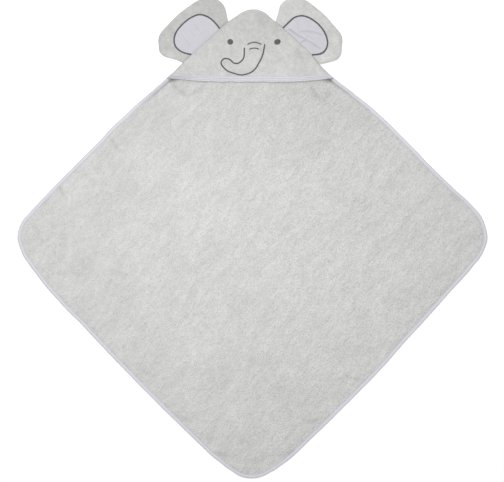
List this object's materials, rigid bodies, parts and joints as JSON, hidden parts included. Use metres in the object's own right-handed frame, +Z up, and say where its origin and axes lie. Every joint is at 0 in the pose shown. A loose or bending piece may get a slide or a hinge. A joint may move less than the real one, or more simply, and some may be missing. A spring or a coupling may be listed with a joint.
{
  "type": "hooded baby towel",
  "caption": "Square terry baby towel with bound edges and an elephant-faced corner hood with two padded ears, lying flat.",
  "frame": {"origin": "centre of the flat towel's box, on the floor under it", "axes": "+Z up through the cloth, +Y from the foot corner to the hood, +X to the right seen from above"},
  "size_m": [0.9878, 1.0055, 0.0116],
  "materials": {
    "terry": "looped terry, pale grey marl",
    "hood_cloth": "smooth brushed knit, pale grey marl",
    "ear_lining": "smooth jersey, pale lavender grey",
    "binding": "jersey binding, pale lavender grey",
    "binding_thread": "polyester thread, lavender grey",
    "seam_thread": "polyester thread, light grey",
    "embroidery": "satin-stitched thread, dark grey"
  },
  "bodies": {
    "towel": {"towel_panel": "terry", "edge_binding": "binding", "edge_binding_stitching": "binding_thread"},
    "hood": {"towel_hood_corner": "terry", "edge_binding_ends": "binding", "hood_panel": "hood_cloth", "hood_edge_binding": "binding", "hood_edge_stitching": "binding_thread", "hood_seam_stitching": "seam_thread", "eye_left": "embroidery", "eye_right": "embroidery", "trunk_outline": "embroidery", "trunk_crease_upper": "embroidery", "trunk_crease_lower": "embroidery"},
    "ear_left": {"ear_left_back": "hood_cloth", "ear_left_front": "hood_cloth", "ear_left_lining": "ear_lining", "ear_left_outline": "embroidery", "ear_left_seam_stitching": "seam_thread"},
    "ear_right": {"ear_right_back": "hood_cloth", "ear_right_front": "hood_cloth", "ear_right_lining": "ear_lining", "ear_right_outline": "embroidery", "ear_right_seam_stitching": "seam_thread"}
  },
  "joints": [
    {"name": "hood_fold", "type": "hinge", "parent": "towel", "child": "hood", "pos_m": [0, 0.3, 0.003], "axis": [1, 0, 0], "range_deg": [0, 110]},
    {"name": "ear_left_fold", "type": "hinge", "parent": "hood", "child": "ear_left", "pos_m": [-0.1423, 0.36876, 0.005], "axis": [0.7372, 0.6757, 0], "range_deg": [0, 150]},
    {"name": "ear_right_fold", "type": "hinge", "parent": "hood", "child": "ear_right", "pos_m": [0.1423, 0.36876, 0.005], "axis": [0.7372, -0.6757, 0], "range_deg": [0, 150]}
  ]
}
